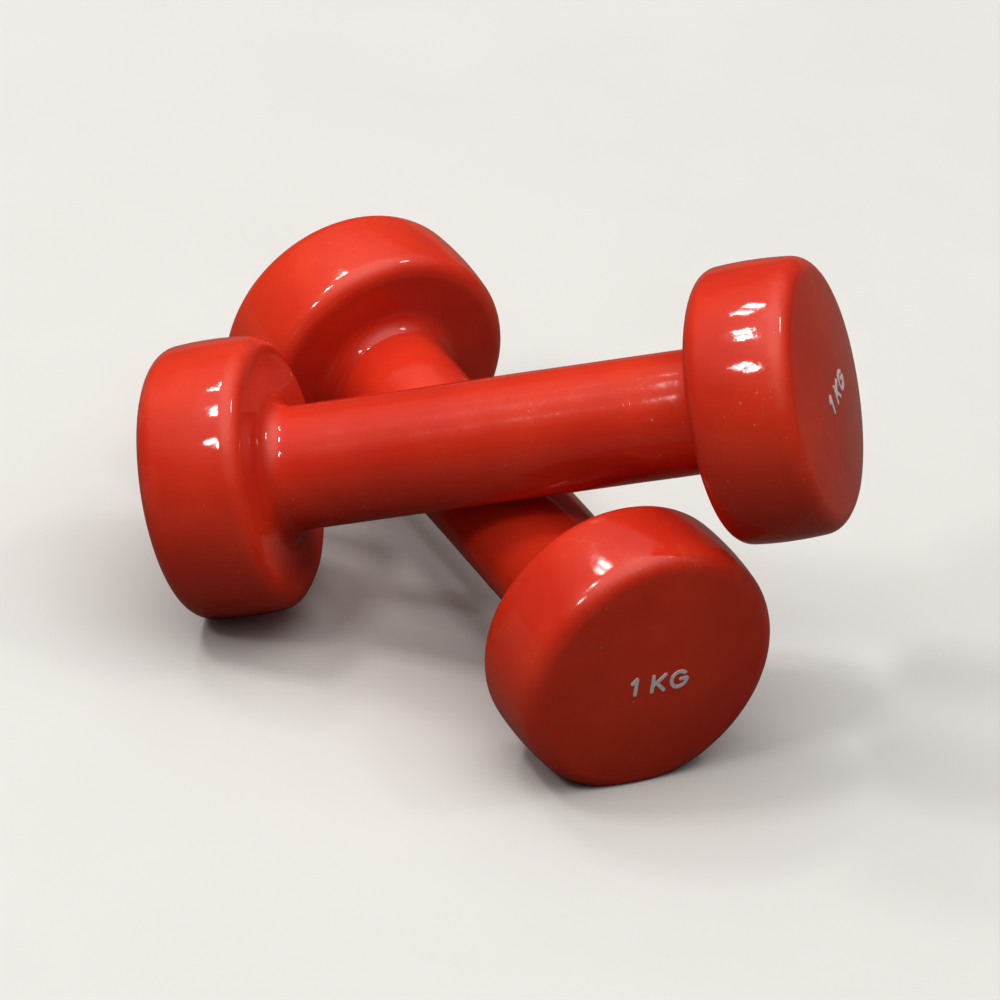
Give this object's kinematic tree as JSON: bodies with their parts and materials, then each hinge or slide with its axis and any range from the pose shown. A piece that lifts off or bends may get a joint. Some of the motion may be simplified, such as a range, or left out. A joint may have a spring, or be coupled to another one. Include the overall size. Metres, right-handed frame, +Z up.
{
  "type": "dumbbell pair",
  "caption": "Small vinyl-dipped cast-iron hand weights with round heads flattened underneath, one lying across the handle of the other.",
  "frame": {"origin": "on the surface that the pair lies on, under the middle of the pair's bounding box", "axes": "+X along the lower weight's handle, towards its front head; +Z up; the upper weight's raised head points to +X +Y"},
  "size_m": [0.1466, 0.1344, 0.1013],
  "materials": {
    "cast_iron": "as-cast iron, sealed inside the skin",
    "vinyl_skin": "glossy dipped PVC, soft to the touch",
    "white_ink": "printed ink, slightly worn"
  },
  "bodies": {
    "lower_weight": {"lower_iron_core": "cast_iron", "lower_vinyl_coat": "vinyl_skin", "lower_front_weight_mark": "white_ink", "lower_rear_weight_mark": "white_ink"},
    "upper_weight": {"upper_iron_core": "cast_iron", "upper_vinyl_coat": "vinyl_skin", "upper_raised_weight_mark": "white_ink", "upper_low_weight_mark": "white_ink"}
  },
  "joints": [
    {"name": "lift_off", "type": "slide", "parent": "lower_weight", "child": "upper_weight", "axis": [0, 0, 1], "range_m": [0, 0.12]}
  ]
}
